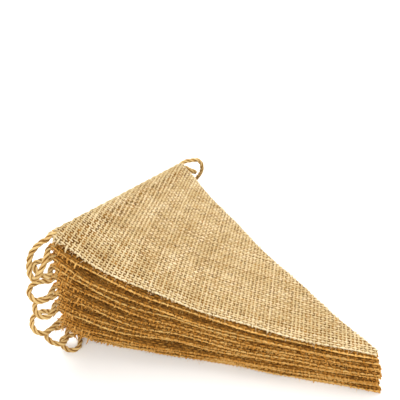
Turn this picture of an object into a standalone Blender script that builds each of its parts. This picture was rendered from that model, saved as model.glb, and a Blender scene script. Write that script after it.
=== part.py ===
"""A bunting of fourteen hessian pennants on one jute cord, folded back and forth into a stack.

The pennants lie on each other from the bottom up. Their hems are along Y at the stack's back,
their tips point to +X, and the stack stands on Z = 0, with the middle of the pennants' box over
the origin. The cord runs through every hem and turns back in a loop from each pennant to the
next, at the near end (-Y) and the far end (+Y) in turn. Lengths are in metres.
"""

import math

import bmesh
import bpy
from mathutils import Matrix, Vector

# Cut and cloth of one pennant
PENNANT_WIDTH = 0.150
PENNANT_DROP = 0.212
TIP_WIDTH = 0.004
CLOTH = 0.0014
HEM_ROLL = 0.0044
HEM_ROUND = 0.0025
HEM_FLAT = 0.0050
HEM_DEPTH = 0.0150
EDGE_WANDER = 0.0007
WANDER_LENGTH = 0.011
EDGE_SWELL = 0.0024
SWELL_LENGTH = 0.075

# Outer form of the stack, its top surface above the surface that it stands on
NEAR_HEM_HEIGHT = 0.118
FAR_HEM_HEIGHT = 0.072
TIP_HEIGHT = 0.040
FALL_SHARE = 0.42
SAG = 0.010

# Air between the layers
CLEARANCE = 0.0004
HEM_SLIDE_ROOM = 0.0050
RIPPLE = 0.40
RIPPLE_LENGTH = 0.085
RIPPLE_SLANT = 0.4
LAYER_PHASE = 2.4

# Fineness of the meshes
CLOTH_COLUMNS = 4
FIELD_ROWS = 10
ROW_SPREAD = 1.15
HEM_ROWS = (0.0, 0.0003, 0.0011, HEM_ROUND, HEM_FLAT, 0.0090, HEM_DEPTH)
SLOPE_STEPS = 24
CURVE_SPANS = 16

# Cord
CORD_DIAMETER = 0.0038
STRAND_VALLEY = 0.74
CORD_SIDES = 6
CORD_STEP = 0.0016
CORD_LAY = 0.0140
TOUCH_GAP = 0.0003

# Each pennant from the bottom up. slide moves its hem along X, hem_shift and tip_shift move its
# hem and its tip along Y, all in millimetres, and turn swings the hem in degrees. The three air
# columns share out the free height above it, at the hem, half way down and at the tip.
PENNANTS = (
    # slide, hem_shift, tip_shift, turn, air_hem, air_middle, air_tip
    (0.5, 4.5, 0.4, 0.0, 0.9, 1.0, 0.8),
    (-0.5, -0.5, -1.2, -0.4, 1.0, 1.1, 1.2),
    (-1.6, -4.0, 0.8, 0.4, 0.8, 1.0, 0.7),
    (-2.2, -7.5, -0.6, -0.3, 0.9, 1.1, 1.2),
    (-2.4, -9.0, -1.6, 0.2, 1.4, 2.3, 1.4),
    (-3.0, -8.0, 0.6, 0.3, 0.8, 0.7, 0.6),
    (-0.8, -7.5, -1.0, -0.5, 1.1, 1.2, 1.5),
    (-0.8, -6.2, -1.6, -0.4, 0.9, 0.8, 0.7),
    (-0.4, -5.8, 0.2, 0.5, 1.1, 1.2, 1.5),
    (-0.2, -4.6, -1.4, 0.0, 0.8, 0.7, 0.6),
    (0.2, -3.5, 0.6, -0.4, 1.3, 1.4, 0.8),
    (0.0, -3.0, -1.8, 0.4, 0.9, 2.2, 2.4),
    (0.8, -0.5, -1.0, -0.2, 1.0, 0.8, 0.6),
    (1.0, 1.5, 0.0, 0.0, 0.0, 0.0, 0.0),
)

# Loops of cord from the top of the stack down, first those at the near end and then those at the
# far end. reach is in millimetres, width too, and is less than 0 where the strand from the upper
# hem lies on the side of the tips. droop is the fall of the outer end below the level of the hems
# in millimetres, and swing turns the loop towards +X in degrees.
NEAR_LOOPS = (
    # reach, width, droop, swing
    (20.0, 10.0, 15.0, 0.0),
    (10.5, 12.0, -1.0, -10.0),
    (17.0, 14.0, 0.0, -15.0),
    (15.2, 13.5, 1.0, -12.0),
    (18.0, 15.0, 0.0, -30.0),
    (14.5, 14.0, -1.0, -5.0),
    (13.5, 13.0, 2.0, -2.0),
)
FAR_LOOPS = (
    # reach, width, droop, swing
    (15.5, -12.0, 8.0, 16.0),
    (15.0, -13.0, 8.0, 12.0),
    (16.0, 13.0, 8.0, -6.0),
    (15.0, -13.0, 9.0, 8.0),
    (16.0, 13.0, 8.0, 0.0),
    (13.0, 12.0, 1.0, -10.0),
)

# A loop's course as shares of its reach and its width, from the upper hem to the lower one
LOOP_COURSE = (
    # out, side
    (0.00, 0.00),
    (0.15, -0.05),
    (0.38, -0.32),
    (0.67, -0.50),
    (0.92, -0.34),
    (1.00, 0.03),
    (0.89, 0.37),
    (0.63, 0.50),
    (0.36, 0.31),
    (0.14, 0.05),
    (0.00, 0.00),
)

# The free ends of the cord. Each row is an offset in millimetres from the hem end that it leaves:
# along X, outward along Y, and up.
TOP_LEAD_COURSE = (
    # along, outward, up
    (0.0, 0.0, 0.0),
    (0.6, 2.8, 0.4),
    (3.6, 5.6, 1.0),
    (6.7, 7.6, 1.5),
    (9.4, 10.2, 1.0),
    (11.8, 12.0, -1.8),
    (12.6, 12.6, -6.2),
    (11.9, 13.4, -11.5),
    (9.3, 14.2, -18.0),
    (5.0, 15.2, -25.5),
    (0.0, 16.2, -36.0),
    (-4.0, 16.8, -47.0),
    (-8.5, 16.5, -57.0),
    (-14.5, 14.5, -64.5),
    (-20.5, 8.5, -67.0),
    (-23.5, -1.0, -67.0),
    (-23.5, -12.0, -67.0),
    (-21.5, -23.0, -67.0),
    (-22.5, -34.0, -67.0),
)
BOTTOM_LEAD_COURSE = (
    # along, outward, up
    (0.0, 0.0, 0.0),
    (0.3, 4.5, 0.0),
    (3.0, 9.0, 0.0),
    (8.0, 12.5, 0.0),
    (14.5, 13.5, 0.0),
    (22.0, 12.0, 0.0),
    (29.0, 8.5, 0.0),
    (36.0, 5.0, 0.0),
    (43.0, 3.0, 0.0),
    (50.0, 1.5, 0.0),
    (57.0, -2.0, 0.0),
    (64.0, -6.0, 0.0),
)

HESSIAN = ("hessian_jute_cloth", (0.50, 0.33, 0.14, 1.0), 0.95)
JUTE = ("twisted_jute_cord", (0.45, 0.27, 0.09, 1.0), 0.9)

MM = 0.001
TOP = len(PENNANTS) - 1
HALF_WIDTH = PENNANT_WIDTH / 2
LYING_HEIGHT = CORD_DIAMETER / 2 + CLEARANCE


def clear_scene():
    """Remove whatever the file opened with."""
    for obj in list(bpy.data.objects):
        bpy.data.objects.remove(obj, do_unlink=True)


def make_material(name, colour, roughness):
    """Return a plain material of one colour and roughness."""
    material = bpy.data.materials.new(name)
    material.use_nodes = True
    shader = material.node_tree.nodes["Principled BSDF"]
    shader.inputs["Base Color"].default_value = colour
    shader.inputs["Roughness"].default_value = roughness
    shader.inputs["Metallic"].default_value = 0.0
    material.diffuse_color = colour
    return material


def blend(start, end, share):
    """Return the value a share of the way from start to end."""
    return start + (end - start) * share


def ease(share):
    """Return a smooth step from 0 to 1 for a share held within 0 and 1."""
    share = min(max(share, 0.0), 1.0)
    return share * share * (3 - 2 * share)


def cloth_thickness(down):
    """Return a pennant's thickness a given way down from its folded edge."""
    if down < HEM_ROUND:
        lead = 1 - max(down, 0.0) / HEM_ROUND
        return blend(CLOTH, HEM_ROLL, math.sqrt(1 - lead * lead))
    if down < HEM_FLAT:
        return HEM_ROLL
    return blend(HEM_ROLL, CLOTH, ease((down - HEM_FLAT) / (HEM_DEPTH - HEM_FLAT)))


def stack_height(x, y):
    """Return the height of the stack's top surface: high at the hems, lower by the tips."""
    along = min(max(x / PENNANT_DROP, 0.0), 1.0)
    end = math.exp(-1 / FALL_SHARE)
    fall = (math.exp(-along / FALL_SHARE) - end) / (1 - end)
    hem = blend(NEAR_HEM_HEIGHT, FAR_HEM_HEIGHT, min(max((y + HALF_WIDTH) / PENNANT_WIDTH, 0.0), 1.0))
    return blend(TIP_HEIGHT, hem, fall) - SAG * along * (1 - along)


def layer_room(x):
    """Return the height that every layer needs at x, wherever its own hem has slid to."""
    return cloth_thickness(max(x - HEM_SLIDE_ROOM, HEM_ROUND)) + CLEARANCE


def air_share(layer, x, y):
    """Return a layer's share of the free height at a place, before it is set against the rest."""
    *_, hem, middle, tip = PENNANTS[layer]
    along = min(max(x / PENNANT_DROP, 0.0), 1.0)
    share = blend(hem, middle, ease(2 * along)) if along < 0.5 else blend(middle, tip, ease(2 * along - 1))
    wave = math.sin(2 * math.pi * (x + RIPPLE_SLANT * y) / RIPPLE_LENGTH + LAYER_PHASE * layer)
    return share * (1 + RIPPLE * wave)


def layer_bottom(layer, x, y):
    """Return the height of a pennant's underside at a place."""
    room = layer_room(x)
    free = stack_height(x, y) - cloth_thickness(max(x, HEM_ROUND)) - TOP * room
    shares = [air_share(other, x, y) for other in range(TOP)]
    return layer * room + free * sum(shares[:layer]) / sum(shares)


def lie_of(layer):
    """Return a pennant's slide, hem shift and tip shift in metres and its turn in radians."""
    slide, hem_shift, tip_shift, turn = PENNANTS[layer][:4]
    return slide * MM, hem_shift * MM, tip_shift * MM, math.radians(turn)


def plan_reach(layer, down):
    """Return how far along X the cloth gets on its way down the stack's slope."""
    reach = 0.0
    step = down / SLOPE_STEPS
    for _ in range(SLOPE_STEPS):
        fall = layer_bottom(layer, reach + step, 0.0) - layer_bottom(layer, reach, 0.0)
        reach += math.sqrt(step * step - fall * fall)
    return reach


def plan_place(layer, reach, down, across):
    """Return where a point of a pennant lies in plan."""
    slide, hem_shift, tip_shift, turn = lie_of(layer)
    x = slide + reach - turn * across
    y = across + blend(hem_shift, tip_shift, down / PENNANT_DROP)
    return x, y


def cloth_rows():
    """Return the distances down a pennant at which its mesh has a row of points."""
    shares = [(n / FIELD_ROWS) ** ROW_SPREAD for n in range(1, FIELD_ROWS + 1)]
    return [*HEM_ROWS, *(blend(HEM_DEPTH, PENNANT_DROP, share) for share in shares)]


def half_width(layer, down, side):
    """Return a pennant's half width on one side, -1 for the near cut and 1 for the far cut.

    It is straight over the cord and then runs to the tip by a wandering cut. The near cut has
    stretched outwards beside the hem, where the cord lifts the corner.
    """
    below_hem = max(down - HEM_FLAT, 0.0)
    half = blend(HALF_WIDTH, TIP_WIDTH / 2, below_hem / (PENNANT_DROP - HEM_FLAT))
    if side < 0 and below_hem < SWELL_LENGTH:
        half += EDGE_SWELL * math.sin(math.pi * below_hem / SWELL_LENGTH)
    inner = ease(down / HEM_DEPTH - 1) * ease((PENNANT_DROP - down) / HEM_DEPTH)
    return half + EDGE_WANDER * inner * math.sin(down / WANDER_LENGTH + LAYER_PHASE * layer + side)


def make_object(name, shell, material):
    """Make an object of a bmesh with its faces turned outwards."""
    bmesh.ops.recalc_face_normals(shell, faces=shell.faces)
    mesh = bpy.data.meshes.new(name)
    shell.to_mesh(mesh)
    shell.free()
    mesh.materials.append(material)
    obj = bpy.data.objects.new(name, mesh)
    bpy.context.scene.collection.objects.link(obj)
    return obj


def make_pennant(layer, material):
    """Make one pennant, with its hem, as a closed sheet that lies on the layers below it.

    A grid is laid out as the underside, and the upper side is extruded from it by the thickness.
    """
    rows = cloth_rows()
    shell = bmesh.new()
    bmesh.ops.create_grid(shell, x_segments=len(rows) - 1, y_segments=CLOTH_COLUMNS, size=0.5)
    row_of = shell.verts.layers.int.new("row")
    for vertex in shell.verts:
        vertex[row_of] = round((vertex.co.x + 0.5) * (len(rows) - 1))
        down = rows[vertex[row_of]]
        near, far = -half_width(layer, down, -1), half_width(layer, down, 1)
        across = blend(near, far, vertex.co.y + 0.5)
        x, y = plan_place(layer, plan_reach(layer, down), down, across)
        round_rise = max(HEM_ROLL - cloth_thickness(down), 0.0) / 2 if down < HEM_ROUND else 0.0
        vertex.co = (x, y, layer_bottom(layer, x, y) + round_rise)
    underside = [*shell.verts, *shell.edges, *shell.faces]
    upper_side = bmesh.ops.extrude_face_region(shell, geom=underside, use_keep_orig=True)
    for vertex in upper_side["geom"]:
        if isinstance(vertex, bmesh.types.BMVert):
            vertex.co.z += cloth_thickness(rows[vertex[row_of]])
    return make_object(f"pennant_{layer + 1:02d}", shell, material)


def hem_end(layer, side):
    """Return where the cord comes out of a hem: side is -1 for the near end, 1 for the far end."""
    x, y = plan_place(layer, HEM_ROUND, HEM_ROUND, side * half_width(layer, HEM_ROUND, side))
    return Vector((x, y + side * TOUCH_GAP, layer_bottom(layer, x, y) + HEM_ROLL / 2))


def smooth_course(points, step):
    """Return places a step apart along a smooth curve through the points."""
    dense = []
    padded = [2 * points[0] - points[1], *points, 2 * points[-1] - points[-2]]
    for a, b, c, d in zip(padded, padded[1:], padded[2:], padded[3:]):
        for n in range(CURVE_SPANS):
            t = n / CURVE_SPANS
            dense.append(
                0.5 * (2 * b + (c - a) * t + (2 * a - 5 * b + 4 * c - d) * t * t
                       + (3 * b - a - 3 * c + d) * t * t * t)
            )
    dense.append(points[-1])
    lengths = [0.0]
    for start, end in zip(dense, dense[1:]):
        lengths.append(lengths[-1] + (end - start).length)
    count = max(2, round(lengths[-1] / step))
    places, index = [], 0
    for n in range(count + 1):
        target = lengths[-1] * n / count
        while index < len(lengths) - 2 and lengths[index + 1] < target:
            index += 1
        share = (target - lengths[index]) / (lengths[index + 1] - lengths[index])
        places.append(dense[index].lerp(dense[index + 1], share))
    return places


def make_cord(name, points, end_facing, material):
    """Make a stretch of cord with its three strands' twist raised on it.

    end_facing holds the direction of the cord at its start and its end, or None for a free end.
    """
    places = smooth_course(points, CORD_STEP)
    headings = [(after - before).normalized() for before, after in zip(places, places[1:])]
    tangents = [headings[0]]
    tangents += [(before + after).normalized() for before, after in zip(headings, headings[1:])]
    tangents.append(headings[-1])
    tangents[0] = end_facing[0] or tangents[0]
    tangents[-1] = end_facing[1] or tangents[-1]
    across = tangents[0].orthogonal().normalized()
    shell = bmesh.new()
    rings = []
    for n, (place, tangent) in enumerate(zip(places, tangents)):
        if n:
            across = tangents[n - 1].rotation_difference(tangent) @ across
        across = (across - tangent * across.dot(tangent)).normalized()
        other = tangent.cross(across)
        twist = 2 * math.pi * n * CORD_STEP / CORD_LAY
        ring = []
        for side in range(CORD_SIDES):
            angle = twist + 2 * math.pi * side / CORD_SIDES
            size = CORD_DIAMETER / 2 * (STRAND_VALLEY if side % 2 else 1.0)
            lobe = size * (math.cos(angle) * across + math.sin(angle) * other)
            ring.append(shell.verts.new(place + lobe))
        rings.append(ring)
    for ring, after in zip(rings, rings[1:]):
        for side in range(CORD_SIDES):
            beside = (side + 1) % CORD_SIDES
            shell.faces.new((ring[side], ring[beside], after[beside], after[side]))
    shell.faces.new(rings[0])
    shell.faces.new(rings[-1])
    return make_object(name, shell, material)


def loop_points(layer, side, reach, width, droop, swing):
    """Return the course of a loop from the hem end of the layer above to this layer's hem end."""
    upper = hem_end(layer + 1, side)
    lower = hem_end(layer, side)
    angle = math.radians(swing)
    outward = Vector((math.sin(angle), side * math.cos(angle), 0.0))
    sideways = Vector((math.cos(angle), -side * math.sin(angle), 0.0))
    last = len(LOOP_COURSE) - 1
    points = []
    for n, (out, along) in enumerate(LOOP_COURSE):
        place = upper.lerp(lower, n / last)
        straight = Vector((0.0, side, 0.0))
        direction = straight.lerp(outward, ease(3 * out)).normalized()
        place += direction * reach * MM * out + sideways * width * MM * along
        place.z = max(place.z - droop * MM * out ** 3, LYING_HEIGHT)
        points.append(place)
    return points


def lead_points(layer, side, course):
    """Return the course of a free end of the cord, laid no lower than the surface below."""
    start = hem_end(layer, side)
    points = []
    for along, outward, up in course:
        place = start + Vector((along, side * outward, up)) * MM
        place.z = max(place.z, LYING_HEIGHT)
        points.append(place)
    return points


def stand_over_origin():
    """Move every piece so that the middle of the pennants' box is over the origin."""
    pennants = [obj for obj in bpy.data.objects if obj.name.startswith("pennant")]
    corners = [vertex.co for obj in pennants for vertex in obj.data.vertices]
    middle = [(min(axis) + max(axis)) / 2 for axis in zip(*corners)]
    shift = Matrix.Translation((-middle[0], -middle[1], 0.0))
    for obj in bpy.data.objects:
        obj.data.transform(shift)


def main():
    """Make the fourteen pennants, the loops of cord between them and its two free ends."""
    clear_scene()
    hessian = make_material(*HESSIAN)
    jute = make_material(*JUTE)
    for layer in range(len(PENNANTS)):
        make_pennant(layer, hessian)
    near, far = Vector((0.0, -1.0, 0.0)), Vector((0.0, 1.0, 0.0))
    for place, shape in enumerate(NEAR_LOOPS):
        points = loop_points(TOP - 1 - 2 * place, -1, *shape)
        make_cord(f"loop_near_{place + 1}", points, (near, far), jute)
    for place, shape in enumerate(FAR_LOOPS):
        points = loop_points(TOP - 2 - 2 * place, 1, *shape)
        make_cord(f"loop_far_{place + 1}", points, (far, near), jute)
    make_cord("lead_top", lead_points(TOP, 1, TOP_LEAD_COURSE), (far, None), jute)
    make_cord("lead_bottom", lead_points(0, 1, BOTTOM_LEAD_COURSE), (far, None), jute)
    stand_over_origin()


main()
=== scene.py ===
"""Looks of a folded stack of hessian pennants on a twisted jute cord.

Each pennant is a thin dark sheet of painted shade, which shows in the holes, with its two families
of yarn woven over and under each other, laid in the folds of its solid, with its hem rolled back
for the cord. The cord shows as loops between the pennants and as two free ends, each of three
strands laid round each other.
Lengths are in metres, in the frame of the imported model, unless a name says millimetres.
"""

import logging
import math
from dataclasses import dataclass, field
from enum import Enum

import bpy
import numpy as np
from bpy.types import Material, Node, NodeSocket, NodeTree, Object
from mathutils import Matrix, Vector


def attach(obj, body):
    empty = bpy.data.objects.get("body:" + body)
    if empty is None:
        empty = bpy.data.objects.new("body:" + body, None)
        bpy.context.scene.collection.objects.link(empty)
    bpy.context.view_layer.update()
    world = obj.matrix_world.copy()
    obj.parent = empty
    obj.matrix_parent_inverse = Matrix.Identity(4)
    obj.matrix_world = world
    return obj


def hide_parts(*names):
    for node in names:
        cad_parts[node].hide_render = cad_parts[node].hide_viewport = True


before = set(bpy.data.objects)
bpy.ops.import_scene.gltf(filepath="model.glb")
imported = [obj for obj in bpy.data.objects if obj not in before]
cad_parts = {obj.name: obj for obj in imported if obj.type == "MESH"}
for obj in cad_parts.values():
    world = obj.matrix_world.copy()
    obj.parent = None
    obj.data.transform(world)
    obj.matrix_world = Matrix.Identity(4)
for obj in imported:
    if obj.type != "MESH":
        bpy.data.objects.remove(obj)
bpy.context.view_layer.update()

logging.basicConfig(level=logging.INFO, format="%(name)s: %(message)s")
LOG = logging.getLogger("bunting")

MM = 0.001
TINY = 1e-12
Array = np.ndarray
BODY = "root"
YARN_MAP = "Yarn"
BAKE_MAP = "OFBake"
FLOOR_GAP = 0.05 * MM
TONE = "tone"


class HemEnd(Enum):
    """The end of a hem that a stretch of cord leaves: the value is its direction along Y."""

    NEAR = -1
    FAR = 1


class Family(Enum):
    """The two families of yarn: the warp runs along the near cut, the weft across it."""

    WARP = 0
    WEFT = 1


class Fineness(Enum):
    """How finely yarns are modelled.

    Each value holds a section's sides, the sections from one crossing to the next, and how many
    crossings one section stands for where the yarn lies deep under other pennants.
    """

    FULL = (5, 2, 1)
    PLAIN = (4, 1, 1)
    HIDDEN = (4, 1, 3)


def ease(share: Array) -> Array:
    """Return a smooth step from 0 to 1 for shares held within 0 and 1."""
    share = np.clip(share, 0.0, 1.0)
    return share * share * (3 - 2 * share)


def blend(start: Array, end: Array, share: Array) -> Array:
    """Return the values a share of the way from start to end."""
    return start + (end - start) * share


def unit(vectors: Array) -> Array:
    """Return the vectors, one in a row, at length one."""
    return vectors / np.maximum(np.linalg.norm(vectors, axis=-1, keepdims=True), TINY)


@dataclass(frozen=True)
class Lie:
    """How one pennant lies: shifts in millimetres, its hem's turn in degrees, its shares of air."""

    slide: float
    hem_shift: float
    tip_shift: float
    turn: float
    air_hem: float
    air_middle: float
    air_tip: float


# The pennants from the lowest one up
LIES = (
    Lie(0.5, 4.5, 0.4, 0.0, 0.9, 1.0, 0.8),
    Lie(-0.5, -0.5, -1.2, -0.4, 1.0, 1.1, 1.2),
    Lie(-1.6, -4.0, 0.8, 0.4, 0.8, 1.0, 0.7),
    Lie(-2.2, -7.5, -0.6, -0.3, 0.9, 1.1, 1.2),
    Lie(-2.4, -9.0, -1.6, 0.2, 1.4, 2.3, 1.4),
    Lie(-3.0, -8.0, 0.6, 0.3, 0.8, 0.7, 0.6),
    Lie(-0.8, -7.5, -1.0, -0.5, 1.1, 1.2, 1.5),
    Lie(-0.8, -6.2, -1.6, -0.4, 0.9, 0.8, 0.7),
    Lie(-0.4, -5.8, 0.2, 0.5, 1.1, 1.2, 1.5),
    Lie(-0.2, -4.6, -1.4, 0.0, 0.8, 0.7, 0.6),
    Lie(0.2, -3.5, 0.6, -0.4, 1.3, 1.4, 0.8),
    Lie(0.0, -3.0, -1.8, 0.4, 0.9, 2.2, 2.4),
    Lie(0.8, -0.5, -1.0, -0.2, 1.0, 0.8, 0.6),
    Lie(1.0, 1.5, 0.0, 0.0, 0.0, 0.0, 0.0),
)


@dataclass(frozen=True)
class Cut:
    """Cut and cloth of one pennant."""

    width: float = 0.150
    drop: float = 0.212
    tip: float = 0.004
    cloth: float = 0.0014
    roll: float = 0.0044
    nose: float = 0.0025
    flat: float = 0.0050
    depth: float = 0.0150
    turned: float = 0.0095
    wander: float = 0.0007
    wander_length: float = 0.011
    swell: float = 0.0024
    swell_length: float = 0.075

    @property
    def slant(self) -> float:
        """The angle of the near cut from the pennant's middle line, in radians."""
        return math.atan2((self.width - self.tip) / 2, self.drop - self.flat)

    @property
    def area(self) -> float:
        """The flat area of the cut piece, with what is turned under."""
        return (self.width + self.tip) / 2 * self.drop + self.width * self.turned

    def thickness(self, down: Array) -> Array:
        """Return the thickness at distances from the folded edge, past its rounded nose."""
        return blend(self.roll, self.cloth, ease((down - self.flat) / (self.depth - self.flat)))

    def straight_half(self, down: Array) -> Array:
        """Return the half width of the cut before its edges have stretched and frayed."""
        below = np.maximum(down - self.flat, 0.0)
        return blend(self.width / 2, self.tip / 2, below / (self.drop - self.flat))


@dataclass
class FoldedStack:
    """The stack's form: where every point of every pennant lies, as its solids have it."""

    cut: Cut = field(default_factory=Cut)
    hem_line: tuple[float, float] = (-0.104554, 0.00225)
    near_height: float = 0.118
    far_height: float = 0.072
    tip_height: float = 0.040
    fall_share: float = 0.42
    sag: float = 0.010
    clearance: float = 0.0004
    slide_room: float = 0.0050
    ripple: float = 0.40
    ripple_length: float = 0.085
    ripple_slant: float = 0.4
    phase: float = 2.4
    reach_steps: int = 200
    touch: float = 0.0003

    def __post_init__(self) -> None:
        """Work out how far along X each pennant gets on its way down the slope."""
        step = self.cut.drop / self.reach_steps
        self.reaches = []
        for layer in range(len(LIES)):
            reach = [0.0]
            for _ in range(self.reach_steps):
                here = np.array([reach[-1], reach[-1] + step])
                low = self.underside(layer, here, np.zeros(2))
                reach.append(reach[-1] + math.sqrt(step * step - (low[1] - low[0]) ** 2))
            self.reaches.append(np.array(reach))

    @property
    def top(self) -> int:
        """The number of the top pennant, counted from 0 at the bottom."""
        return len(LIES) - 1

    def height(self, x: Array, y: Array) -> Array:
        """Return the height of the stack's top surface.

        Args:
            x: distances from the hem line.
            y: distances from the middle line.

        Returns:
            The heights.
        """
        along = np.clip(x / self.cut.drop, 0.0, 1.0)
        end = math.exp(-1 / self.fall_share)
        fall = (np.exp(-along / self.fall_share) - end) / (1 - end)
        across = np.clip(y / self.cut.width + 0.5, 0.0, 1.0)
        hem = blend(self.near_height, self.far_height, across)
        return blend(self.tip_height, hem, fall) - self.sag * along * (1 - along)

    def air_share(self, layer: int, x: Array, y: Array) -> Array:
        """Return how much air lies over a pennant, before it is set against the others' air.

        Args:
            layer: the pennant's number.
            x: distances from the hem line.
            y: distances from the middle line.

        Returns:
            The shares.
        """
        lie = LIES[layer]
        along = np.clip(x / self.cut.drop, 0.0, 1.0)
        upper = blend(lie.air_hem, lie.air_middle, ease(2 * along))
        lower = blend(lie.air_middle, lie.air_tip, ease(2 * along - 1))
        share = np.where(along < 0.5, upper, lower)
        turn = 2 * math.pi * (x + self.ripple_slant * y) / self.ripple_length
        return share * (1 + self.ripple * np.sin(turn + self.phase * layer))

    def underside(self, layer: int, x: Array, y: Array) -> Array:
        """Return the height of a pennant's underside.

        Args:
            layer: the pennant's number.
            x: distances from the hem line.
            y: distances from the middle line.

        Returns:
            The heights.
        """
        cut = self.cut
        room = cut.thickness(np.maximum(x - self.slide_room, cut.nose)) + self.clearance
        used = cut.thickness(np.maximum(x, cut.nose)) + self.top * room
        shares = [self.air_share(other, x, y) for other in range(self.top)]
        below = sum(shares[:layer], np.zeros_like(x))
        return layer * room + (self.height(x, y) - used) * below / sum(shares)

    def spread(self, layer: int, down: Array, across: Array) -> Array:
        """Return the places across a pennant after its edges have stretched and wandered.

        Args:
            layer: the pennant's number.
            down: distances from the folded edge.
            across: distances from the middle line, as cut.

        Returns:
            The distances from the middle line as the pennant lies.
        """
        cut = self.cut
        straight = cut.straight_half(down)
        below = np.maximum(down - cut.flat, 0.0)
        swell = np.where(below < cut.swell_length, np.sin(math.pi * below / cut.swell_length), 0.0)
        inner = ease(down / cut.depth - 1) * ease((cut.drop - down) / cut.depth)
        side = np.where(across < 0, -1.0, 1.0)
        wave = np.sin(down / cut.wander_length + self.phase * layer + side)
        out = cut.wander * inner * wave + np.where(side < 0, cut.swell * swell, 0.0)
        weight = np.clip(np.abs(across) / np.maximum(straight, cut.tip), 0.0, 1.0) ** 3
        return across + side * out * weight

    def plan(self, layer: int, down: Array, across: Array) -> tuple[Array, Array]:
        """Return where points of a pennant lie in plan.

        Args:
            layer: the pennant's number.
            down: distances from the folded edge.
            across: distances from the middle line, with the edges as they lie.

        Returns:
            The distances from the hem line, and from the middle line.
        """
        lie = LIES[layer]
        steps = np.linspace(0.0, self.cut.drop, self.reach_steps + 1)
        reach = np.interp(down, steps, self.reaches[layer])
        x = lie.slide * MM + reach - math.radians(lie.turn) * across
        y = across + blend(lie.hem_shift, lie.tip_shift, down / self.cut.drop) * MM
        return x, y

    def cloth(self, layer: int, along: Array, across: Array) -> Array:
        """Return where the middle of the cloth's thickness lies.

        Args:
            layer: the pennant's number.
            along: distances from the folded edge, negative in the part that is turned under.
            across: distances from the middle line, as cut.

        Returns:
            The points, one in a row.
        """
        cut = self.cut
        half = cut.cloth / 2
        angle = np.clip(along / cut.nose, -1.0, 1.0) * math.pi / 2
        nose = np.abs(along) < cut.nose
        down = np.where(nose, cut.nose - (cut.nose - half) * np.cos(angle), np.abs(along))
        x, y = self.plan(layer, down, self.spread(layer, down, across))
        rounded = cut.roll / 2 + (cut.roll / 2 - half) * np.sin(angle)
        level = np.where(along > 0, cut.thickness(np.maximum(down, cut.nose)) - half, half)
        z = self.underside(layer, x, y) + np.where(nose, rounded, level)
        return np.stack([x + self.hem_line[0], y + self.hem_line[1], z], axis=-1)

    def outward(self, layer: int, along: Array, across: Array) -> Array:
        """Return the cloth's normals, upwards on the outer face and downwards where turned under.

        Args:
            layer: the pennant's number.
            along: distances from the folded edge, negative in the part that is turned under.
            across: distances from the middle line, as cut.

        Returns:
            The normals, one in a row.
        """
        step = 0.0004
        here = self.cloth(layer, along, across)
        down = self.cloth(layer, along + step, across) - here
        side = self.cloth(layer, along, across + step) - here
        return unit(np.cross(down, side))

    def hem_end(self, layer: int, end: HemEnd) -> Array:
        """Return where the cord comes out of a hem.

        Args:
            layer: the pennant's number.
            end: the end of its hem.

        Returns:
            The place.
        """
        cut = self.cut
        down = np.array([cut.nose])
        x, y = self.plan(layer, down, end.value * cut.straight_half(down))
        z = self.underside(layer, x, y) + cut.roll / 2
        place = [x[0] + self.hem_line[0], y[0] + self.hem_line[1] + end.value * self.touch, z[0]]
        return np.array(place)


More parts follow.
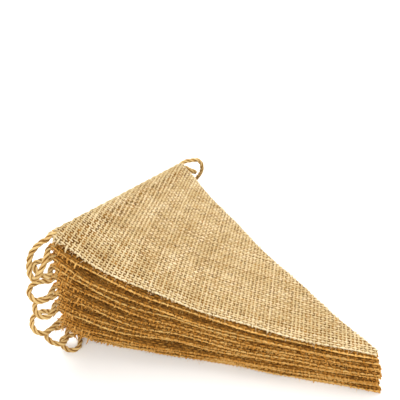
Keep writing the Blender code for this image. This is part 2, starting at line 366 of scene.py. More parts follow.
@dataclass
class Strands:
    """Gathers tubes of one kind, such as yarns or strands of cord, into one mesh.

    The relief is painted light and shade: how much lighter a tube's upper side is painted than its
    middle, and how much darker its underside, as if light fell from above.
    """

    sides: int
    relief: float = 0.0
    points: list[Array] = field(default_factory=list)
    tones: list[Array] = field(default_factory=list)
    loops: list[Array] = field(default_factory=list)
    sizes: list[Array] = field(default_factory=list)
    yarn_uv: list[Array] = field(default_factory=list)
    bake_uv: list[Array] = field(default_factory=list)
    count: int = 0

    def add(self, centres: Array, up: Array, half_width: Array, half_height: Array,
            tone: Array, bake: Array) -> None:
        """Add one tube with its ends closed.

        Args:
            centres: the middle of each section, one in a row.
            up: the direction that each section's height is measured in.
            half_width: each section's half width.
            half_height: each section's half height.
            tone: how light each section is, about 0 to 1.
            bake: each section's place in the map that colours are baked through.
        """
        rings, sides = len(centres), self.sides
        tangent = unit(np.gradient(centres, axis=0))
        across = unit(np.cross(up, tangent))
        up = np.cross(tangent, across)
        turn = 2 * math.pi * (np.arange(sides) + 0.5) / sides
        wide = half_width[:, None, None] * across[:, None] * np.cos(turn)[None, :, None]
        high = half_height[:, None, None] * up[:, None] * np.sin(turn)[None, :, None]
        self.points.append((centres[:, None] + wide + high).reshape(-1, 3))
        # Painted light and shade: each section lighter on its upper side and darker on its
        # underside
        self.tones.append((tone[:, None] + self.relief * np.sin(turn)[None, :]).ravel())
        ring, side = np.meshgrid(np.arange(rings - 1), np.arange(sides), indexing="ij")
        corner = [(0, 0), (0, 1), (1, 1), (1, 0)]
        quads = [(ring + r) * sides + (side + s) % sides for r, s in corner]
        caps = [np.arange(sides)[::-1], (rings - 1) * sides + np.arange(sides)]
        self.loops.append(self.count + np.concatenate([np.stack(quads, -1).ravel(), *caps]))
        self.sizes.append(np.array([4] * ring.size + [sides, sides]))
        lengths = np.linalg.norm(np.diff(centres, axis=0), axis=1)
        along = np.concatenate([[0.0], np.cumsum(lengths)]) / MM
        girth = math.pi * (half_width + half_height).mean() / MM
        around = [np.stack([along[ring + r], (side + s) * girth / sides], -1) for r, s in corner]
        ends = [np.tile([along[0], 0.0], (sides, 1)), np.tile([along[-1], 0.0], (sides, 1))]
        self.yarn_uv.append(np.concatenate([np.stack(around, 2).reshape(-1, 2), *ends]))
        mapped = [bake[ring + r] for r, s in corner]
        ends = [np.tile(bake[0], (sides, 1)), np.tile(bake[-1], (sides, 1))]
        self.bake_uv.append(np.concatenate([np.stack(mapped, 2).reshape(-1, 2), *ends]))
        self.count += rings * sides

    def make(self, name: str, material: Material) -> Object:
        """Make the gathered tubes one object.

        Args:
            name: the piece's name.
            material: its finish.

        Returns:
            The new object, with its UV maps and its tones.
        """
        points = np.concatenate(self.points)
        points[:, 2] = np.maximum(points[:, 2], FLOOR_GAP)
        loops = np.concatenate(self.loops).astype(np.int32)
        sizes = np.concatenate(self.sizes)
        mesh = bpy.data.meshes.new(name)
        mesh.vertices.add(len(points))
        mesh.vertices.foreach_set("co", points.astype(np.float32).ravel())
        mesh.loops.add(len(loops))
        mesh.loops.foreach_set("vertex_index", loops)
        mesh.polygons.add(len(sizes))
        starts = np.concatenate([[0], np.cumsum(sizes)[:-1]]).astype(np.int32)
        mesh.polygons.foreach_set("loop_start", starts)
        mesh.update(calc_edges=True)
        for map_name, parts in ((YARN_MAP, self.yarn_uv), (BAKE_MAP, self.bake_uv)):
            layer = mesh.uv_layers.new(name=map_name, do_init=False)
            layer.uv.foreach_set("vector", np.concatenate(parts).astype(np.float32).ravel())
        tone = mesh.attributes.new(TONE, "FLOAT", "POINT")
        tone.data.foreach_set("value", np.concatenate(self.tones).astype(np.float32))
        mesh.shade_smooth()
        mesh.materials.append(material)
        obj = bpy.data.objects.new(name, mesh)
        bpy.context.scene.collection.objects.link(obj)
        return obj


@dataclass
class Weave:
    """The yarns of one pennant, as the loom laid them, before it was cut along the warp.

    The early wefts are those that lie before the end of the hem.
    """

    warp_pitch: float = 1.82 * MM
    weft_pitch: float = 2.66 * MM
    warp_half_width: float = 0.60 * MM
    weft_half_width: float = 0.76 * MM
    half_height: float = 0.36 * MM
    edge_inset: float = 0.35
    early_wefts: int = 23
    unevenness: float = 0.09 * MM
    slub: float = 0.16
    slub_length: float = 0.014
    wobble: float = 0.10 * MM
    wobble_length: float = 0.009
    least_end: float = 0.15
    tone: float = 0.5
    tone_spread: float = 0.06
    warp_lightness: float = 0.07

    def places(self, family: Family, count: int, rng: np.random.Generator) -> Array:
        """Return where a family's yarns lie across them, a pitch apart with small errors."""
        pitch = self.warp_pitch if family is Family.WARP else self.weft_pitch
        return (np.arange(count) + self.edge_inset) * pitch + rng.normal(0, self.unevenness, count)


@dataclass(frozen=True)
class Yarn:
    """One yarn on the loom: its number in its family, its place, and where others cross it."""

    family: Family
    number: int
    place: float
    crossings: Array


@dataclass(frozen=True)
class Fray:
    """How yarns run out past the cut: a little at the slanted cuts, most near the hem corner.

    The level cuts hardly fray. The most that a length is multiplied by keeps single ends from
    running out too far. Each end has two sections, at the steps of its length and with the tapers
    of its thickness.
    """

    length: float = 0.32 * MM
    most: float = 3.0
    corner_length: float = 3.4 * MM
    corner_most: float = 1.6
    corner_reach: float = 0.030
    level_length: float = 0.1 * MM
    slant_room: float = 0.3 * MM
    bend: float = 0.5
    curl: float = 0.6
    steps: tuple[float, float] = (0.5, 1.0)
    taper: tuple[float, float] = (0.8, 0.35)
    dullness: float = 0.15


@dataclass(frozen=True)
class Fluff:
    """The fine loose fibres that stand off the cloth, a share of them along the near cut.

    They are drawn thicker than real ones, which are too fine to show.
    """

    count: int = 90
    radius: float = 0.06 * MM
    length: float = 3.5 * MM
    lengths: tuple[float, float] = (0.4, 1.2)
    places: tuple[float, float] = (0.02, 0.95)
    share_at_cut: float = 0.6
    stray: tuple[float, float] = (0.6, 0.3)
    lift: float = 0.45 * MM
    arch: float = 0.25
    arch_turn: float = 0.8
    sections: int = 4
    tone: float = 0.9


@dataclass
class Pennant:
    """One pennant: a thin sheet of painted shade, the yarns woven over it, their frayed ends and
    loose fibres.
    """

    layer: int
    stack: FoldedStack
    fineness: Fineness
    weave: Weave = field(default_factory=Weave)
    fray: Fray = field(default_factory=Fray)
    fluff: Fluff = field(default_factory=Fluff)
    seed: int = 100
    # The dark sheet of painted shade that fills the holes between the yarns
    shade_sheet_thickness: float = 0.30 * MM
    shade_sheet_inset: float = 0.45 * MM
    shade_sheet_rows: int = 40
    shade_sheet_columns: int = 12
    shade_sheet_crowding: float = 1.25
    shown_depth: float = 0.014
    # Painted light on each yarn's upper side and painted shade on its underside
    yarn_painted_shading: float = 0.02
    # Painted shading: floats lighter and passes under darker, and a painted highlight along the cut
    float_painted_shading: float = 0.08
    edge_painted_light: float = 0.30
    edge_width: float = 1.1 * MM
    # Painted shade on yarns covered by the pennants above
    covered_painted_shade: float = 0.29
    covered_depth: float = 3.5 * MM
    bake_margins: tuple[float, float, float] = (1.04, 1.1, 1.3)

    def __post_init__(self) -> None:
        """Give the pennant its own random numbers."""
        self.rng = np.random.default_rng(self.seed + self.layer)

    @property
    def node(self) -> str:
        """The name of the solid that this pennant stands for."""
        return f"pennant_{self.layer + 1:02d}"

    def room(self, along: Array, across: Array) -> tuple[Array, Array]:
        """Return how far inside the cut points are, and how far inside the two slanted cuts.

        Args:
            along: distances from the folded edge, negative in the part that is turned under.
            across: distances from the middle line.

        Returns:
            The two distances, negative outside.
        """
        cut = self.stack.cut
        half = cut.straight_half(np.abs(along))
        level = np.minimum(along + cut.turned, cut.drop - along)
        slanted = (half - np.abs(across)) * math.cos(cut.slant)
        return np.minimum(level, slanted), slanted

    def flat_place(self, warp: Array, weft: Array) -> tuple[Array, Array]:
        """Return the place along and across the pennant of a place on the loom.

        Args:
            warp: distances across the warp from the near cut.
            weft: distances along the warp from the end of the hem.

        Returns:
            The places along and across the pennant.
        """
        cut = self.stack.cut
        cos, sin = math.cos(cut.slant), math.sin(cut.slant)
        along = cut.flat + weft * cos - warp * sin
        across = -cut.width / 2 + weft * sin + warp * cos
        return along, across

    def make_painted_shade_sheet(self, material: Material) -> Object:
        """Make the thin dark sheet that closes the gaps between the yarns, painted shade for the
        holes.

        Args:
            material: its finish.

        Returns:
            The new object.
        """
        cut = self.stack.cut
        bpy.ops.object.select_all(action="DESELECT")
        bpy.ops.mesh.primitive_grid_add(x_subdivisions=self.shade_sheet_rows,
                                        y_subdivisions=self.shade_sheet_columns, size=1.0)
        obj = bpy.context.object
        # This piece is the dark sheet of painted shade that shows through the holes between the
        # yarns
        obj.name = f"{self.node}_cloth"
        obj.data.name = obj.name
        flat = np.empty(len(obj.data.vertices) * 3)
        obj.data.vertices.foreach_get("co", flat)
        flat = flat.reshape(-1, 3) + 0.5
        share = flat[:, 0] ** self.shade_sheet_crowding
        along = blend(self.shade_sheet_inset - cut.turned, cut.drop - self.shade_sheet_inset, share)
        half = cut.straight_half(np.abs(along)) - self.shade_sheet_inset
        across = half * (2 * flat[:, 1] - 1)
        obj.data.vertices.foreach_set("co", self.stack.cloth(self.layer, along, across).ravel())
        obj.data.update()
        solidify = obj.modifiers.new("thickness", "SOLIDIFY")
        solidify.thickness = self.shade_sheet_thickness
        solidify.offset = 0.0
        bpy.ops.object.modifier_apply(modifier=solidify.name)
        obj.data.shade_smooth()
        obj.data.materials.append(material)
        return obj

    def make_yarns(self, material: Material) -> Object:
        """Make every yarn of the pennant, over and under the others, with loose fibres on top.

        Args:
            material: their finish.

        Returns:
            The new object.
        """
        cut, weave = self.stack.cut, self.weave
        length = math.hypot(cut.drop + cut.turned, cut.width)
        warp_count = math.ceil(length / weave.warp_pitch)
        weft_count = math.ceil(length / weave.weft_pitch)
        warps = weave.places(Family.WARP, warp_count, self.rng)
        wefts = weave.places(Family.WEFT, weft_count + weave.early_wefts, self.rng)
        wefts -= weave.early_wefts * weave.weft_pitch
        strands = Strands(self.fineness.value[0], self.yarn_painted_shading)
        for family, places, crossings in ((Family.WARP, warps, wefts), (Family.WEFT, wefts, warps)):
            for number, place in enumerate(places):
                self.add_yarn(strands, Yarn(family, number, place, crossings))
        self.add_fluff(strands)
        return strands.make(f"{self.node}_yarns", material)

    def add_yarn(self, strands: Strands, yarn: Yarn) -> None:
        """Add one yarn from cut to cut.

        Args:
            strands: the mesh that it joins.
            yarn: the yarn.
        """
        rng, weave, is_warp = self.rng, self.weave, yarn.family is Family.WARP
        tone = weave.tone + weave.tone_spread * rng.standard_normal()
        tone += weave.warp_lightness * (1 if is_warp else -1)
        wobble_phase, slub_phase, _ = rng.uniform(0, 2 * math.pi, 3)
        frays = [self.fray_shape() for _ in range(2)]
        spots, lift = self.sections(yarn)
        if not len(spots):
            return
        wobble = weave.wobble * np.sin(spots / weave.wobble_length + wobble_phase)
        along, across = self.lattice(yarn, spots, wobble)
        up = self.stack.outward(self.layer, along, across)
        centres = self.stack.cloth(self.layer, along, across)
        centres = centres + up * (lift * weave.half_height)[:, None]
        thick = 1 + weave.slub * np.sin(spots / weave.slub_length * 2 * math.pi + slub_phase)
        wide = weave.warp_half_width if is_warp else weave.weft_half_width
        bake = self.bake_place(yarn.family, along, across)
        head = self.tail(centres[:2], up[0], along[0], across[0], frays[0])
        foot = self.tail(centres[:-3:-1], up[-1], along[-1], across[-1], frays[1])
        centres = np.concatenate([head[::-1], centres, foot])
        up, bake = (np.pad(rows, ((2, 2), (0, 0)), mode="edge") for rows in (up, bake))
        thick = np.pad(thick, 2, mode="edge")
        thick[[1, 0, -2, -1]] *= [*self.fray.taper, *self.fray.taper]
        tones = np.pad(self.shaded(tone, lift, along, across), 2, mode="edge")
        tones[[1, 0, -2, -1]] -= self.fray.dullness
        strands.add(centres, up, wide * thick, weave.half_height * thick, tones, bake)

    def sections(self, yarn: Yarn) -> tuple[Array, Array]:
        """Return where along a yarn its sections lie, and how each is lifted.

        Args:
            yarn: the yarn.

        Returns:
            The spots from cut to cut, and their lifts: 1 over another yarn, -1 under one, and 0
            between or where the yarn is hidden. Both are empty where it misses the pennant.
        """
        room = self.room(*self.lattice(yarn, yarn.crossings))[0]
        inside = np.flatnonzero(room > 0)
        if len(inside) < 2:
            return np.empty(0), np.empty(0)
        first, last = inside[[0, -1]]
        spots = yarn.crossings[first:last + 1]
        lift = np.where((np.arange(first, last + 1) + yarn.number) % 2, 1.0, -1.0)
        lift = lift if yarn.family is Family.WARP else -lift
        _, sections, stride = self.fineness.value
        if stride > 1:
            shown = room[first:last + 1] < self.shown_depth
            kept = shown | (np.arange(len(spots)) % stride == 0)
            spots, lift = spots[kept], np.where(shown, lift, 0.0)[kept]
        if sections == 2:
            middles = (spots[1:] + spots[:-1]) / 2
            spots = np.insert(spots, np.arange(1, len(spots)), middles)
            lift = np.insert(lift, np.arange(1, len(lift)), 0.0)
        start, end = self.cut_place(yarn, first, -1), self.cut_place(yarn, last, 1)
        return np.concatenate([[start], spots, [end]]), np.concatenate([[0.0], lift, [0.0]])

    def lattice(self, yarn: Yarn, spots: Array, wobble: Array | float = 0.0) -> tuple[Array, Array]:
        """Return the flat places of spots along one yarn.

        Args:
            yarn: the yarn.
            spots: distances along it on the loom.
            wobble: how far it strays sideways there.

        Returns:
            The places along and across the pennant.
        """
        place = yarn.place + wobble
        warp, weft = (place, spots) if yarn.family is Family.WARP else (spots, place)
        return self.flat_place(warp, weft)

    def cut_place(self, yarn: Yarn, last: int, way: int) -> float:
        """Return where a yarn meets the cut beyond its last crossing.

        Args:
            yarn: the yarn.
            last: the number of the last crossing inside the cut.
            way: 1 towards higher numbers, -1 towards lower ones.

        Returns:
            The place along the yarn.
        """
        pitch = self.weave.weft_pitch if yarn.family is Family.WARP else self.weave.warp_pitch
        ends = yarn.crossings[last] + np.array([0.0, way * pitch])
        rooms = self.room(*self.lattice(yarn, ends))[0]
        share = rooms[0] / max(rooms[0] - rooms[1], TINY)
        return float(blend(ends[0], ends[1], min(max(share, self.weave.least_end), 1.0)))

    def shaded(self, tone: float, lift: Array, along: Array, across: Array) -> Array:
        """Return how light a yarn's sections are.

        Args:
            tone: how light the yarn itself is.
            lift: 1 where it passes over another yarn, -1 where it passes under.
            along: each section's place along the pennant.
            across: each section's place across the pennant.

        Returns:
            The tones, with painted light along the cut and where the yarn floats, painted shade
            where it passes under another yarn, and painted shade where the pennants above cover it.
        """
        depth = self.room(along, across)[1]
        light = tone + self.float_painted_shading * lift + self.edge_painted_light * np.exp(-depth / self.edge_width)
        if self.fineness is Fineness.FULL:
            return light
        # Painted shade on the covered pennants: none at the hem, deeper further inside the slanted
        # cut
        below_hem = ease(along / self.stack.cut.depth)
        return light - self.covered_painted_shade * below_hem * ease(depth / self.covered_depth)

    def fray_shape(self) -> Array:
        """Return a random length, sideways bend and upward bend for one frayed end."""
        return np.array([self.rng.exponential(1.0), *self.rng.normal(0, self.fray.bend, 2)])

    def tail(self, ends: Array, up: Array, along: float, across: float, shape: Array) -> Array:
        """Return where the sections of a yarn's frayed end lie, outwards from the cut.

        Args:
            ends: the middles of the yarn's last section and of the one before it.
            up: the cloth's normal at the last section.
            along: the last section's place along the pennant.
            across: its place across the pennant.
            shape: the end's random length, sideways bend and upward bend.

        Returns:
            The middles of the sections, one in a row.
        """
        fray = self.fray
        reach = fray.length * min(shape[0], fray.most)
        if across < 0 and along > -self.stack.cut.nose:
            corner = max(0.0, 1 - max(along, 0.0) / fray.corner_reach)
            reach += corner * fray.corner_length * min(shape[0], fray.corner_most)
        if abs(self.room(along, across)[1]) >= fray.slant_room:
            reach = fray.level_length
        way = unit(ends[0] - ends[1])
        bend = np.cross(up, way) * shape[1] + up * shape[2]
        steps = np.array(fray.steps)[:, None]
        return ends[0] + reach * (way * steps + bend * steps ** 2 * fray.curl)

    def bake_place(self, family: Family, along: Array, across: Array) -> Array:
        """Return places in the baked map: warp on its left half and weft on its right half.

        Args:
            family: warp or weft.
            along: places along the pennant.
            across: places across the pennant.

        Returns:
            The places in the map, one in a row.
        """
        cut = self.stack.cut
        side, start, whole = self.bake_margins
        u = (across / (cut.width * side) + 0.5 + family.value) / 2
        v = (along + cut.turned * start) / (cut.drop + cut.turned * whole)
        return np.stack([u, v], axis=-1)

    def add_fluff(self, strands: Strands) -> None:
        """Add the fine loose fibres that stand off the cloth, most of them along the near cut.

        Args:
            strands: the mesh that they join.
        """
        cut, rng, fluff = self.stack.cut, self.rng, self.fluff
        steps = np.linspace(0, 1, fluff.sections)[:, None]
        sizes = np.full(fluff.sections, fluff.radius)
        tones = np.full(fluff.sections, fluff.tone)
        for _ in range(fluff.count):
            along = np.array([rng.uniform(*fluff.places) * cut.drop])
            at_cut = rng.random() < fluff.share_at_cut
            across = cut.straight_half(along) * (-1.0 if at_cut else rng.uniform(-1, 1))
            start = self.stack.cloth(self.layer, along, across)[0]
            up = self.stack.outward(self.layer, along, across)
            angle = rng.uniform(0, 2 * math.pi)
            way = np.array([math.cos(angle), math.sin(angle), 0.0])
            if at_cut:
                way = unit(np.array([rng.normal(0, fluff.stray[0]), -1.0,
                                     rng.normal(0, fluff.stray[1])]))
            length = fluff.length * rng.uniform(*fluff.lengths)
            arch = fluff.arch * length * np.sin(steps * math.pi * fluff.arch_turn)
            centres = start + up * (fluff.lift + arch) + way * length * steps
            bake = self.bake_place(Family.WARP, along, across)
            strands.add(centres, np.repeat(up, fluff.sections, axis=0), sizes, sizes, tones,
                        np.repeat(bake, fluff.sections, axis=0))

    def build(self, painted_shade: Material, yarn: Material, rests_on: str) -> Object:
        """Make the pennant's pieces, attach them to the body and hide the solid that they stand
        for.

        Args:
            painted_shade: the finish of the dark sheet that paints the shade in the holes.
            yarn: the finish of the yarns.
            rests_on: the name of the piece below; not used.

        Returns:
            The dark sheet of painted shade.
        """
        # The dark sheet of painted shade, and the yarns
        cloth = self.make_painted_shade_sheet(painted_shade)
        yarns = self.make_yarns(yarn)
        for piece in (cloth, yarns):
            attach(piece, BODY)
        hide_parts(self.node)
        LOG.info("%s: %d faces of ground, %d faces of yarn", self.node,
                 len(cloth.data.polygons), len(yarns.data.polygons))
        return cloth


@dataclass(frozen=True)
class LoopShape:
    """One loop of cord: sizes in millimetres, its swing towards +X in degrees.

    A loop of negative width has its upper half nearer the tips than its lower half.
    """

    reach: float
    width: float
    droop: float
    swing: float


# The loops at each end of the hems, from the top one down
NEAR_LOOPS = (
    LoopShape(20.0, 10.0, 15.0, 0.0),
    LoopShape(10.5, 12.0, -1.0, -10.0),
    LoopShape(17.0, 14.0, 0.0, -15.0),
    LoopShape(15.2, 13.5, 1.0, -12.0),
    LoopShape(18.0, 15.0, 0.0, -30.0),
    LoopShape(14.5, 14.0, -1.0, -5.0),
    LoopShape(13.5, 13.0, 2.0, -2.0),
)
FAR_LOOPS = (
    LoopShape(15.5, -12.0, 8.0, 16.0),
    LoopShape(15.0, -13.0, 8.0, 12.0),
    LoopShape(16.0, 13.0, 8.0, -6.0),
    LoopShape(15.0, -13.0, 9.0, 8.0),
    LoopShape(16.0, 13.0, 8.0, 0.0),
    LoopShape(13.0, 12.0, 1.0, -10.0),
)

# A loop's course as shares of its reach and its width, from the upper hem to the lower one
LOOP_COURSE = (
    (0.00, 0.00), (0.15, -0.05), (0.38, -0.32), (0.67, -0.50), (0.92, -0.34), (1.00, 0.03),
    (0.89, 0.37), (0.63, 0.50), (0.36, 0.31), (0.14, 0.05), (0.00, 0.00),
)

# The free ends: offsets in millimetres from the hem end along X, outward along Y, and up
TOP_LEAD_COURSE = (
    (0.0, 0.0, 0.0), (0.6, 2.8, 0.4), (3.6, 5.6, 1.0), (6.7, 7.6, 1.5), (9.4, 10.2, 1.0),
    (11.8, 12.0, -1.8), (12.6, 12.6, -6.2), (11.9, 13.4, -11.5), (9.3, 14.2, -18.0),
    (5.0, 15.2, -25.5), (0.0, 16.2, -36.0), (-4.0, 16.8, -47.0), (-8.5, 16.5, -57.0),
    (-14.5, 14.5, -64.5), (-20.5, 8.5, -67.0), (-23.5, -1.0, -67.0), (-23.5, -12.0, -67.0),
    (-21.5, -23.0, -67.0), (-22.5, -34.0, -67.0),
)
BOTTOM_LEAD_COURSE = (
    (0.0, 0.0, 0.0), (0.3, 4.5, 0.0), (3.0, 9.0, 0.0), (8.0, 12.5, 0.0), (14.5, 13.5, 0.0),
    (22.0, 12.0, 0.0), (29.0, 8.5, 0.0), (36.0, 5.0, 0.0), (43.0, 3.0, 0.0), (50.0, 1.5, 0.0),
    (57.0, -2.0, 0.0), (64.0, -6.0, 0.0),
)


@dataclass
class JuteCord:
    """One stretch of the cord: three strands laid round each other along a route."""

    name: str
    stack: FoldedStack
    diameter: float = 0.0038
    lay: float = 0.0140
    strands: int = 3
    strand_radius: float = 0.93 * MM
    strand_offset: float = 0.97 * MM
    strand_tones: tuple[float, float, float] = (0.38, 0.62, 0.50)
    # Painted light on each strand's outer side and painted shade on its inner side, in the grooves
    relief: float = 0.50
    sides: int = 8
    step: float = 0.95 * MM
    spans: int = 16
    hidden: float = 0.0040
    slub: float = 0.05
    slub_length: float = 0.007
    splay: float = 0.5
    splay_length: float = 0.0060

    def loop_route(self, layer: int, end: HemEnd, shape: LoopShape) -> Array:
        """Return a loop's route from the hem end of the layer above to this layer's hem end.

        Args:
            layer: the lower of the two pennants.
            end: the end of the hems.
            shape: the loop's sizes.

        Returns:
            The route's own points, one in a row.
        """
        upper, lower = self.stack.hem_end(layer + 1, end), self.stack.hem_end(layer, end)
        side, angle = end.value, math.radians(shape.swing)
        outward = np.array([math.sin(angle), side * math.cos(angle), 0.0])
        sideways = np.array([math.cos(angle), -side * math.sin(angle), 0.0])
        straight = np.array([0.0, side, 0.0])
        points = []
        for number, (out, along) in enumerate(LOOP_COURSE):
            place = blend(upper, lower, number / (len(LOOP_COURSE) - 1))
            direction = unit(blend(straight, outward, ease(3 * out)))
            place = place + direction * shape.reach * MM * out + sideways * shape.width * MM * along
            low = place[2] - shape.droop * MM * out ** 3
            place[2] = max(low, self.diameter / 2 + self.stack.clearance)
            points.append(place)
        return np.array(points)

    def lead_route(self, layer: int, end: HemEnd, course: tuple) -> Array:
        """Return the route of a free end, laid no lower than the surface below.

        Args:
            layer: the pennant that it leaves.
            end: the end of that pennant's hem.
            course: the route's offsets in millimetres.

        Returns:
            The route's own points, one in a row.
        """
        start = self.stack.hem_end(layer, end)
        points = start + np.array(course) * MM * np.array([1.0, end.value, 1.0])
        points[:, 2] = np.maximum(points[:, 2], self.diameter / 2 + self.stack.clearance)
        return points

    def smooth(self, route: Array) -> Array:
        """Return a smooth curve through a route's own points.

        Args:
            route: the points, one in a row.

        Returns:
            Places on the curve, a step apart.
        """
        padded = np.concatenate([[2 * route[0] - route[1]], route, [2 * route[-1] - route[-2]]])
        share = (np.arange(self.spans) / self.spans)[:, None]
        dense = []
        for a, b, c, d in zip(padded, padded[1:], padded[2:], padded[3:]):
            square = (2 * a - 5 * b + 4 * c - d) * share ** 2
            cube = (3 * b - a - 3 * c + d) * share ** 3
            dense.append(0.5 * (2 * b + (c - a) * share + square + cube))
        dense = np.concatenate([*dense, route[-1:]])
        lengths = np.linalg.norm(np.diff(dense, axis=0), axis=1)
        along = np.concatenate([[0.0], np.cumsum(lengths)])
        spots = np.linspace(0.0, along[-1], max(2, round(along[-1] / self.step)) + 1)
        return np.stack([np.interp(spots, along, dense[:, axis]) for axis in range(3)], axis=-1)

    def carried(self, centres: Array) -> Array:
        """Return a side direction carried along a curve without turning about it.

        Args:
            centres: places on the curve, one in a row.

        Returns:
            The directions, one in a row.
        """
        tangents = unit(np.gradient(centres, axis=0))
        across = Vector(tangents[0]).orthogonal().normalized()
        found = []
        for before, after in zip([tangents[0], *tangents[:-1]], tangents):
            across = Vector(before).rotation_difference(Vector(after)) @ across
            found.append(np.array(across))
        return np.array(found)

    def build(self, route: Array, bare: bool, material: Material) -> Object:
        """Make the cord along a route, attach it to the body and hide the solid that it stands for.

        Args:
            route: the route's own points, from the hem that it leaves.
            bare: whether it ends free, and not in another hem.
            material: its finish.

        Returns:
            The new object.
        """
        path = self.smooth(route)
        inward = np.array([0.0, -math.copysign(1.0, route[1][1] - route[0][1]), 0.0])
        steps = np.arange(self.hidden, 0.0, -self.step)[:, None]
        centres = np.concatenate([path[0] + inward * steps, path])
        if not bare:
            centres = np.concatenate([centres, path[-1] + inward * steps[::-1]])
        side = self.carried(centres)
        tangent = unit(np.gradient(centres, axis=0))
        other = np.cross(tangent, side)
        along = np.arange(len(centres)) * self.step
        left = along[-1] - along
        splay = self.splay * np.maximum(1 - left / self.splay_length, 0.0) ** 2
        spread = 1 + splay * bare
        mesh = Strands(self.sides, self.relief)
        for strand in range(self.strands):
            turn = 2 * math.pi * (along / self.lay + strand / self.strands)
            radial = np.cos(turn)[:, None] * side + np.sin(turn)[:, None] * other
            slub = self.slub * np.sin(along / self.slub_length + 2 * strand)
            size = self.strand_radius * (1 + slub)
            places = centres + radial * (self.strand_offset * spread)[:, None]
            row = np.full(len(along), (strand + 0.5) / self.strands)
            bake = np.stack([along / along[-1], row], -1)
            tone = np.full(len(along), self.strand_tones[strand])
            mesh.add(places, radial, size, size, tone, bake)
        obj = mesh.make(f"{self.name}_cord", material)
        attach(obj, BODY)
        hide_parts(self.name)
        return obj


def linear(colour: str) -> tuple[float, float, float, float]:
    """Turn a colour to linear values.

    Args:
        colour: its sRGB hex value, such as #C8A165.

    Returns:
        Its linear red, green and blue, and an alpha of 1.
    """
    parts = [int(colour[start:start + 2], 16) / 255 for start in (1, 3, 5)]
    parts = [part / 12.92 if part <= 0.04045 else ((part + 0.055) / 1.055) ** 2.4 for part in parts]
    return (*parts, 1.0)


def add_node(tree: NodeTree, kind: str, settings: dict | None = None,
             inputs: dict | None = None) -> Node:
    """Add a node with its settings, its sockets' values and its links.

    Args:
        tree: the material's node tree.
        kind: the node's type, without its leading ShaderNode.
        settings: properties of the node.
        inputs: a value or another node's output for each input socket.

    Returns:
        The new node.
    """
    node = tree.nodes.new(f"ShaderNode{kind}")
    for name, value in (settings or {}).items():
        setattr(node, name, value)
    for name, value in (inputs or {}).items():
        if isinstance(value, NodeSocket):
            tree.links.new(value, node.inputs[name])
        else:
            node.inputs[name].default_value = value
    return node


@dataclass(frozen=True)
class Finish:
    """What every finish here has: colours by how light a spot is, a fine relief and a dull face.

    The colours are stops of a ramp, each a tone from 0 to 1 and its sRGB hex value.
    """

    name: str
    colours: tuple[tuple[float, str], ...]
    roughness: float
    specular: float
    relief: float
    relief_strength: float

    def pattern(self, tree: NodeTree) -> tuple[NodeSocket, NodeSocket]:
        """Add the pattern and return its outputs for how light and how high each spot is."""
        raise NotImplementedError

    def make(self) -> Material:
        """Make the material.

        Returns:
            The new material.
        """
        material = bpy.data.materials.new(self.name)
        material.use_nodes = True
        tree = material.node_tree
        shader = tree.nodes["Principled BSDF"]
        tone, height = self.pattern(tree)
        ramp = add_node(tree, "ValToRGB", inputs={"Fac": tone})
        stops = ramp.color_ramp.elements
        for stop, (position, colour) in zip(stops, (self.colours[0], self.colours[-1])):
            stop.position = position
            stop.color = linear(colour)
        for position, colour in self.colours[1:-1]:
            stops.new(position).color = linear(colour)
        bump = add_node(tree, "Bump", inputs={
            "Strength": self.relief_strength, "Distance": self.relief, "Height": height,
        })
        tree.links.new(ramp.outputs["Color"], shader.inputs["Base Color"])
        tree.links.new(bump.outputs["Normal"], shader.inputs["Normal"])
        shader.inputs["Roughness"].default_value = self.roughness
        shader.inputs["Specular IOR Level"].default_value = self.specular
        return material


@dataclass(frozen=True)
class SpunJute(Finish):
    """Spun jute: dull straw fibres that lie slantwise round the yarn, lighter and darker by turns.

    The pattern runs along the yarn's own map, in millimetres, so that it follows each bend. Its
    fibres are drawn coarser than real ones, which are too fine to show.
    """

    roughness: float = 0.82
    specular: float = 0.25
    relief: float = 0.06 * MM
    relief_strength: float = 0.8
    fibre_width_mm: float = 0.16
    fibre_length_mm: float = 2.2
    fibre_slant: float = 0.45
    slubs_per_mm: float = 0.22
    patch_mm: float = 24.0
    weights: tuple[float, float, float] = (0.9, 0.7, 0.5)

    def pattern(self, tree: NodeTree) -> tuple[NodeSocket, NodeSocket]:
        """Add fibres, slubs along the yarn and soft patches across the cloth.

        Args:
            tree: the material's node tree.

        Returns:
            The tone attribute, with its painted light and shade, with all three added, and the
            fibres for the relief.
        """
        place = add_node(tree, "UVMap", {"uv_map": YARN_MAP})
        slant = add_node(tree, "Mapping", inputs={
            "Vector": place.outputs["UV"],
            "Rotation": (0.0, 0.0, self.fibre_slant),
            "Scale": (1 / self.fibre_length_mm, 1 / (2 * self.fibre_width_mm), 1.0),
        })
        fibres = add_node(tree, "TexNoise", inputs={
            "Vector": slant.outputs["Vector"], "Scale": 1.0, "Detail": 3.0, "Roughness": 0.6,
        })
        slubs = add_node(tree, "TexNoise", inputs={
            "Vector": place.outputs["UV"], "Scale": self.slubs_per_mm, "Detail": 1.0,
        })
        spot = add_node(tree, "TexCoord")
        patches = add_node(tree, "TexNoise", inputs={
            "Vector": spot.outputs["Object"], "Scale": 1 / (self.patch_mm * MM), "Detail": 3.0,
        })
        # The tone attribute holds each spot's painted light and shade as well as its own tone
        total = add_node(tree, "Attribute", {"attribute_name": TONE}).outputs["Fac"]
        for source, weight in zip((fibres, slubs, patches), self.weights):
            centred = add_node(tree, "Math", {"operation": "SUBTRACT"},
                               {0: source.outputs["Fac"], 1: 0.5})
            summed = add_node(tree, "Math", {"operation": "MULTIPLY_ADD"},
                              {0: centred.outputs[0], 1: weight, 2: total})
            total = summed.outputs[0]
        return total, fibres.outputs["Fac"]


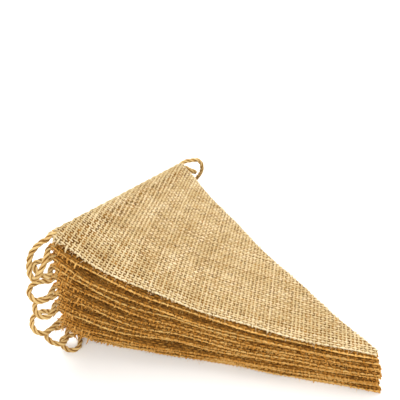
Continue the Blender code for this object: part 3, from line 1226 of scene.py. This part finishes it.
@dataclass(frozen=True)
class PaintedShadeJute(Finish):
    """A dark sheet between the yarns: painted shade in the gaps, with paler fluff caught here and
    there.
    """

    roughness: float = 0.95
    specular: float = 0.1
    relief: float = 0.1 * MM
    relief_strength: float = 0.6
    fluff_mm: float = 3.0

    def pattern(self, tree: NodeTree) -> tuple[NodeSocket, NodeSocket]:
        """Add the fluff, on the piece's own coordinates.

        Args:
            tree: the material's node tree.

        Returns:
            The fluff, for the tone and for the relief.
        """
        spot = add_node(tree, "TexCoord")
        fluff = add_node(tree, "TexNoise", inputs={
            "Vector": spot.outputs["Object"], "Scale": 1 / (self.fluff_mm * MM), "Detail": 4.0,
        })
        return fluff.outputs["Fac"], fluff.outputs["Fac"]


# Undyed jute cord: straw on its strands; the brown in the grooves between them is painted shade,
# from each strand's darkened inner side
CORD_FINISH = SpunJute(
    "jute_cord_three_strand", ((0.05, "#472706"), (0.5, "#966A2C"), (0.95, "#CAAD75")))

# Hessian yarn on the top pennant, the lit copy of the yarn colours: pale straw, almost cream where
# painted light falls on a float or along the cut
TOP_FINISH = SpunJute(
    "hessian_yarn_lit_top", ((0.05, "#866338"), (0.5, "#BCA67A"), (0.95, "#DFCFAF")))

# Hessian yarn on the pennants below the top one, a painted-shade copy of the top's colours: deeper
# gold for shade and light bounced between the layers, deep brown where painted shade falls in its
# folds
SHADED_YARN_FINISH = SpunJute(
    "hessian_yarn_painted_shade", ((0.05, "#54330C"), (0.5, "#BE8230"), (0.95, "#E2BC74")))

# Painted shade for hessian's holes: a brown sheet, so that each hole between two yarns reads dark
PAINTED_SHADE_FINISH = PaintedShadeJute("hessian_painted_shade_sheet", ((0.38, "#52340F"), (0.68, "#946A30")))


@dataclass(frozen=True)
class SoftLight:
    """One soft square light that faces the stack: its sides in metres, its power in watts."""

    name: str
    place: tuple[float, float, float]
    size: float
    power: float
    colour: str

    def add(self) -> None:
        """Add the light to the scene."""
        light = bpy.data.lights.new(self.name, "AREA")
        light.size = self.size
        light.energy = self.power
        light.color = linear(self.colour)[:3]
        obj = bpy.data.objects.new(self.name, light)
        bpy.context.scene.collection.objects.link(obj)
        obj.location = self.place
        obj.rotation_euler = Vector(self.place).to_track_quat("Z", "Y").to_euler()


@dataclass
class Studio:
    """The camera at the photo's view, a pale floor, and soft light from behind and in front."""

    azimuth: float = 30.34
    elevation: float = 41.53
    distance: float = 0.45564
    target: tuple[float, float, float] = (-0.08634, 0.08373, 0.030)
    lens: float = 44.94
    sensor: float = 36.0
    nearest: float = 0.01
    floor_size: float = 6.0
    floor_gap: float = 0.0002
    floor_colour: str = "#F1F3F7"
    floor_roughness: float = 0.9
    floor_specular: float = 0.1
    lights: tuple[SoftLight, ...] = (
        SoftLight("key_light", (-0.35, 0.45, 1.1), 1.3, 16.5, "#FFFBF4"),
        SoftLight("fill_light", (0.45, -0.75, 1.0), 1.0, 12.0, "#FFF9EE"),
    )
    surroundings_colour: str = "#FBF9F5"
    surroundings_strength: float = 0.75

    def add_camera(self) -> None:
        """Add the camera and make it the scene's own."""
        turn, rise = math.radians(self.azimuth), math.radians(self.elevation)
        back = Vector((math.sin(turn) * math.cos(rise), -math.cos(turn) * math.cos(rise),
                       math.sin(rise)))
        camera = bpy.data.cameras.new("camera")
        camera.lens = self.lens
        camera.sensor_width = self.sensor
        camera.clip_start = self.nearest
        obj = bpy.data.objects.new("camera", camera)
        bpy.context.scene.collection.objects.link(obj)
        obj.location = Vector(self.target) + back * self.distance
        obj.rotation_euler = back.to_track_quat("Z", "Y").to_euler()
        bpy.context.scene.camera = obj

    def add_floor(self) -> None:
        """Add the pale floor that the stack lies on."""
        bpy.ops.object.select_all(action="DESELECT")
        bpy.ops.mesh.primitive_plane_add(size=self.floor_size,
                                         location=(0.0, 0.0, -self.floor_gap))
        floor = bpy.context.object
        floor.name = "floor"
        # Matt paint on a smooth board: near white, a little cool, without a sheen
        material = bpy.data.materials.new("painted_board")
        material.use_nodes = True
        shader = material.node_tree.nodes["Principled BSDF"]
        shader.inputs["Base Color"].default_value = linear(self.floor_colour)
        shader.inputs["Roughness"].default_value = self.floor_roughness
        shader.inputs["Specular IOR Level"].default_value = self.floor_specular
        floor.data.materials.append(material)

    def build(self) -> None:
        """Add the floor, the lights and the pale surroundings."""
        self.add_floor()
        for light in self.lights:
            light.add()
        world = bpy.data.worlds.new("surroundings")
        world.use_nodes = True
        background = world.node_tree.nodes["Background"]
        background.inputs["Color"].default_value = linear(self.surroundings_colour)
        background.inputs["Strength"].default_value = self.surroundings_strength
        bpy.context.scene.world = world
        bpy.context.scene.view_settings.view_transform = "Standard"


def fineness_of(layer: int, top: int) -> Fineness:
    """Return how finely a pennant's yarns are modelled: finest on top, plainest where hidden."""
    covered = Fineness.PLAIN if layer == 0 or layer >= top - 2 else Fineness.HIDDEN
    return Fineness.FULL if layer == top else covered


def build_cords(stack: FoldedStack) -> None:
    """Build the loops at both ends of the hems, and the two free ends.

    Args:
        stack: the stack's form.
    """
    jute = CORD_FINISH.make()
    rows = (("loop_near", HemEnd.NEAR, stack.top - 1, NEAR_LOOPS),
            ("loop_far", HemEnd.FAR, stack.top - 2, FAR_LOOPS))
    for name, end, highest, shapes in rows:
        for number, shape in enumerate(shapes):
            loop = JuteCord(f"{name}_{number + 1}", stack)
            loop.build(loop.loop_route(highest - 2 * number, end, shape), False, jute)
    rows = (("lead_top", stack.top, TOP_LEAD_COURSE), ("lead_bottom", 0, BOTTOM_LEAD_COURSE))
    for name, layer, course in rows:
        lead = JuteCord(name, stack)
        lead.build(lead.lead_route(layer, HemEnd.FAR, course), True, jute)


def build_pennants(stack: FoldedStack, floor: str) -> None:
    """Build the pennants from the lowest one up, each of them resting on the one before.

    Args:
        stack: the stack's form.
        floor: the name of what the lowest one rests on.
    """
    top_yarn, yarn, painted_shade = TOP_FINISH.make(), SHADED_YARN_FINISH.make(), PAINTED_SHADE_FINISH.make()
    below = floor
    for layer in range(len(LIES)):
        pennant = Pennant(layer, stack, fineness_of(layer, stack.top))
        # The top pennant takes the lit copy of the yarn colours, the ones below it the
        # painted-shade copy
        below = pennant.build(painted_shade, top_yarn if layer == stack.top else yarn, below).name


def main() -> None:
    """Build the camera, the cord, the studio and the pennants."""
    studio = Studio()
    studio.add_camera()
    stack = FoldedStack()
    build_cords(stack)
    studio.build()
    build_pennants(stack, "floor")


if __name__ == "__main__":
    main()
